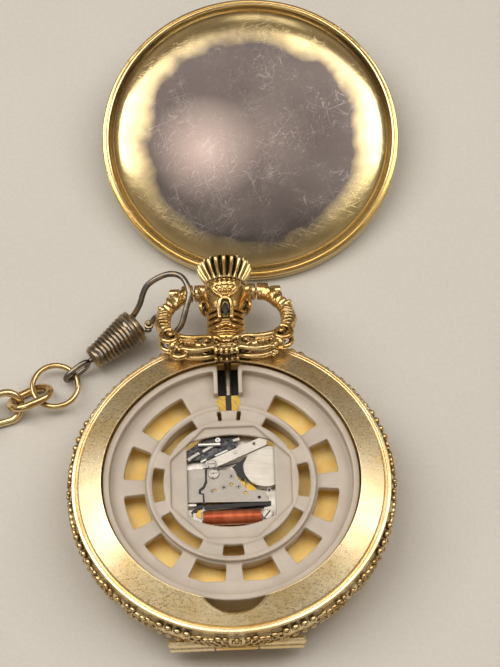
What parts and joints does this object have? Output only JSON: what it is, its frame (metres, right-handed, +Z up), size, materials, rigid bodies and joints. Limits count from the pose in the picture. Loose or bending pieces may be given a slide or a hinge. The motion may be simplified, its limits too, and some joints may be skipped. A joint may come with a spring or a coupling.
{
  "type": "pocket watch",
  "caption": "Quartz hunter-case pocket watch lying face down with its press-fit back off, showing the movement in its moulded holder, with bow, crown, clasp and chain.",
  "frame": {"origin": "centre of the flat medallion of the front lid, on the surface the watch lies on", "axes": "+Y to 12 o'clock, along the stem; +Z up, from the dial to the open back"},
  "size_m": [0.1207, 0.1193, 0.0143],
  "materials": {
    "gold_plate": "polished pale gold plate, lightly worn",
    "glass": "polished mineral crystal",
    "brass": "satin",
    "steel": "fine brushed",
    "dark_steel": "blued and blackened",
    "pewter": "dark plate worn to brass on the ribs",
    "milky_plastic": "translucent milky moulding",
    "circuit": "dark lacquered board",
    "copper": "fine lacquered copper wire",
    "chain_gold": "rose gold plate",
    "chain_bulk": "outer volume of a brass chain, about a tenth of it metal"
  },
  "bodies": {
    "case": {"case_band": "gold_plate", "hinge_pin": "gold_plate", "crystal_bezel": "gold_plate", "crystal": "glass", "dial": "brass", "lid_spring": "dark_steel", "lid_catch": "dark_steel", "pendant": "gold_plate", "bow_pin_left": "gold_plate", "bow_pin_right": "gold_plate", "movement_holder": "milky_plastic", "main_plate": "steel", "train_bridge": "steel", "battery": "steel", "battery_clamp": "steel", "bridge_screw": "steel", "clamp_screw": "steel", "coil_screw": "steel", "circuit_board": "circuit", "quartz_can": "steel", "coil_core": "brass", "coil_winding": "copper", "stator_plate": "dark_steel"},
    "front_lid": {"front_lid": "gold_plate"},
    "setting": {"setting_lever": "steel"},
    "crown": {"crown": "gold_plate", "stem": "steel"},
    "bow": {"bow": "gold_plate"},
    "clasp": {"clasp_sleeve": "pewter", "clasp_hook": "pewter", "gate_pin": "pewter", "jump_ring": "chain_gold"},
    "gate": {"clasp_gate": "pewter"},
    "swivel_eye": {"swivel_eye": "pewter"},
    "chain": {"chain_link_1": "chain_gold", "chain_link_2": "chain_gold", "chain_link_3": "chain_gold", "chain_run": "chain_bulk", "chain_coil": "chain_bulk", "chain_tail": "chain_bulk", "t_bar": "chain_gold"},
    "back_cover": {"back_cover": "gold_plate"},
    "minute": {"minute_hand": "dark_steel", "cannon_pinion": "steel"},
    "hour": {"hour_hand": "dark_steel", "hour_wheel": "brass"},
    "minute_work": {"minute_wheel": "brass"},
    "seconds": {"second_hand": "dark_steel", "seconds_wheel": "brass"},
    "third": {"third_wheel": "brass"},
    "centre": {"centre_wheel": "brass"},
    "intermediate": {"intermediate_wheel": "milky_plastic"},
    "rotor": {"rotor": "dark_steel"}
  },
  "joints": [
    {"name": "lid_hinge", "type": "hinge", "parent": "case", "child": "front_lid", "pos_m": [0, -0.0222, 0.0036], "axis": [-1, 0, 0], "range_deg": [0, 100]},
    {"name": "crown_pull", "type": "slide", "parent": "case", "child": "setting", "axis": [0, 1, 0], "range_m": [0, 0.0008]},
    {"name": "crown_turn", "type": "hinge", "parent": "setting", "child": "crown", "pos_m": [0, 0.033, 0.0076], "axis": [0, 1, 0], "continuous": true},
    {"name": "bow_swing", "type": "hinge", "parent": "case", "child": "bow", "pos_m": [0, 0.032, 0.0076], "axis": [-1, 0, 0], "range_deg": [0, 105]},
    {"name": "clasp_level", "type": "hinge", "parent": "bow", "child": "clasp", "pos_m": [-0.0078, 0.03017, 0.00841], "axis": [-1, 0, 0], "range_deg": [-105, 0]},
    {"name": "gate_swing", "type": "hinge", "parent": "clasp", "child": "gate", "pos_m": [-0.01155, 0.02843, 0.00495], "axis": [0, 0, 1], "range_deg": [0, 18], "stiffness_Nm_per_rad": 0.0002, "springref_deg": -11.46},
    {"name": "eye_swivel", "type": "hinge", "parent": "clasp", "child": "swivel_eye", "pos_m": [-0.02027, 0.02419, 0.00263], "axis": [-0.8064, -0.561, -0.187], "range_deg": [-25, 25]},
    {"name": "chain_swing", "type": "hinge", "parent": "clasp", "child": "chain", "pos_m": [-0.0258, 0.02034, 0.002], "axis": [0, 0, 1], "range_deg": [-10, 10]},
    {"name": "cover_lift", "type": "slide", "parent": "case", "child": "back_cover", "axis": [0, 0, 1], "range_m": [0, 0.006]},
    {"name": "minute_turn", "type": "hinge", "parent": "case", "child": "minute", "pos_m": [0, 0, 0.006], "axis": [0, 0, 1], "continuous": true},
    {"name": "hour_turn", "type": "hinge", "parent": "case", "child": "hour", "pos_m": [0, 0, 0.006], "axis": [0, 0, 1], "continuous": true},
    {"name": "minute_work_turn", "type": "hinge", "parent": "case", "child": "minute_work", "pos_m": [-0.00225, 0.0009, 0.0069], "axis": [0, 0, 1], "continuous": true},
    {"name": "seconds_turn", "type": "hinge", "parent": "case", "child": "seconds", "pos_m": [0, 0, 0.008], "axis": [0, 0, 1], "continuous": true},
    {"name": "third_turn", "type": "hinge", "parent": "case", "child": "third", "pos_m": [-0.00242, -0.00085, 0.008], "axis": [0, 0, 1], "continuous": true},
    {"name": "centre_turn", "type": "hinge", "parent": "case", "child": "centre", "pos_m": [0, 0, 0.008], "axis": [0, 0, 1], "continuous": true},
    {"name": "intermediate_turn", "type": "hinge", "parent": "case", "child": "intermediate", "pos_m": [0.00198, -0.00138, 0.008], "axis": [0, 0, 1], "continuous": true},
    {"name": "rotor_turn", "type": "hinge", "parent": "case", "child": "rotor", "pos_m": [0.00394, -0.00218, 0.008], "axis": [0, 0, 1], "continuous": true}
  ],
  "couplings": [
    {"joint": "clasp_level", "follows": "bow_swing", "ratio": -1},
    {"joint": "hour_turn", "follows": "minute_turn", "ratio": 0.083333},
    {"joint": "minute_work_turn", "follows": "minute_turn", "ratio": -0.33333},
    {"joint": "third_turn", "follows": "seconds_turn", "ratio": -0.13333},
    {"joint": "centre_turn", "follows": "seconds_turn", "ratio": 0.016667},
    {"joint": "intermediate_turn", "follows": "seconds_turn", "ratio": -5},
    {"joint": "rotor_turn", "follows": "seconds_turn", "ratio": 30}
  ]
}
